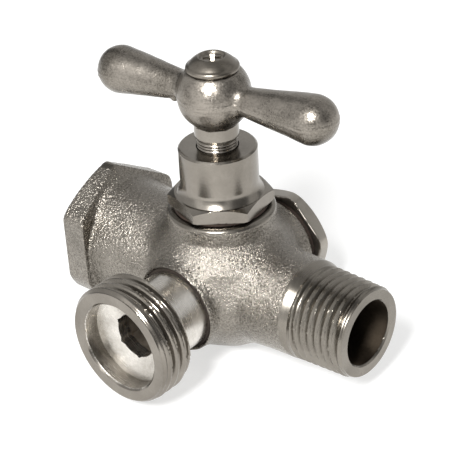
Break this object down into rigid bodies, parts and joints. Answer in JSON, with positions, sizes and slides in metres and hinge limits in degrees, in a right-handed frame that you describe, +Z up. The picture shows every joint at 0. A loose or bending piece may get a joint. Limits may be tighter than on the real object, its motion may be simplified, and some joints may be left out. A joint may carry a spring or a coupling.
{
  "type": "hose bib",
  "caption": "In-line tee hose bib: female hex inlet, male pipe outlet, garden hose outlet, rear access plug and a lever-handled compression valve.",
  "frame": {"origin": "where the centre lines of the run, the hose outlet and the spindle cross, inside the body", "axes": "+X along the run to the male pipe end, -X to the hex inlet, -Y to the hose outlet, +Y to the rear plug, +Z up the spindle to the handle"},
  "size_m": [0.0749, 0.0577, 0.069],
  "materials": {
    "cast_nickel": "sand-cast brass under dull nickel plate, fine grain",
    "handle_nickel": "die-cast, nickel plated, semi-gloss with faint orange peel",
    "turned_nickel": "turned brass under bright nickel plate",
    "bare_brass": "turned, unplated",
    "rubber": "matt black moulded rubber",
    "fibre": "pressed fibre sealing washer",
    "white_plastic": "moulded low-friction plastic"
  },
  "bodies": {
    "body": {"valve_body": "cast_nickel", "bonnet": "turned_nickel", "bonnet_gasket": "fibre", "hose_nipple": "turned_nickel", "hose_nipple_seal": "rubber", "rear_plug": "turned_nickel", "rear_plug_gasket": "fibre"},
    "lifter": {"disc_holder": "bare_brass", "seat_washer": "rubber", "washer_screw": "bare_brass"},
    "turner": {"spindle": "turned_nickel", "spindle_o_ring_lower": "rubber", "spindle_o_ring_upper": "rubber", "spindle_stop_washer": "white_plastic", "handle": "handle_nickel", "handle_screw": "turned_nickel"}
  },
  "joints": [
    {"name": "spindle_lift", "type": "slide", "parent": "body", "child": "lifter", "axis": [0, 0, 1], "range_m": [0, 0.004]},
    {"name": "handle_turn", "type": "hinge", "parent": "lifter", "child": "turner", "pos_m": [0, 0, 0.035], "axis": [0, 0, 1], "range_deg": [0, 720]}
  ],
  "couplings": [
    {"joint": "spindle_lift", "follows": "handle_turn", "m_per_rad": 0.0003183}
  ]
}
